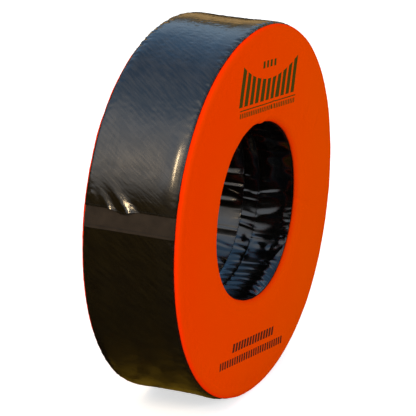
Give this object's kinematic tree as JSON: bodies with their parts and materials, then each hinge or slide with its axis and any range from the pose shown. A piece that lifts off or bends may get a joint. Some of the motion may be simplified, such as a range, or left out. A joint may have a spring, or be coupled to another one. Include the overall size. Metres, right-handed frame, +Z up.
{
  "type": "tackle wheel",
  "caption": "Foam tackle wheel on its tread: a wide ring with a vinyl cover, hook-and-loop closures across the tread and round the bore, and a foam core.",
  "frame": {"origin": "on the ground, under the middle of the wheel", "axes": "+Z up, the axle line along Y, the front face towards -Y, the tread's closure on the -X side"},
  "size_m": [1.2, 0.332, 1.197],
  "materials": {
    "orange_vinyl": "satin",
    "black_vinyl": "gloss",
    "loop_tape": "matte",
    "hook_tape": "matte",
    "soft_foam": "matte",
    "firm_foam": "matte"
  },
  "bodies": {
    "wheel": {"front_face_panel": "orange_vinyl", "back_face_panel": "orange_vinyl", "tread_band": "black_vinyl", "tread_loop_tape": "loop_tape", "bore_panel_front": "black_vinyl", "bore_panel_back": "black_vinyl", "bore_hook_tape": "hook_tape", "bore_loop_tape": "loop_tape", "foam_slab_front": "soft_foam", "foam_slab_middle": "soft_foam", "foam_slab_back": "soft_foam", "foam_rim_wrap": "soft_foam", "foam_bore_hoop": "firm_foam"},
    "closure_flap": {"tread_flap": "black_vinyl", "flap_hook_tape": "hook_tape"}
  },
  "joints": [
    {"name": "flap_peel", "type": "hinge", "parent": "wheel", "child": "closure_flap", "pos_m": [-0.53009, 0, 0.87807], "axis": [0, 1, 0], "range_deg": [0, 120]}
  ]
}
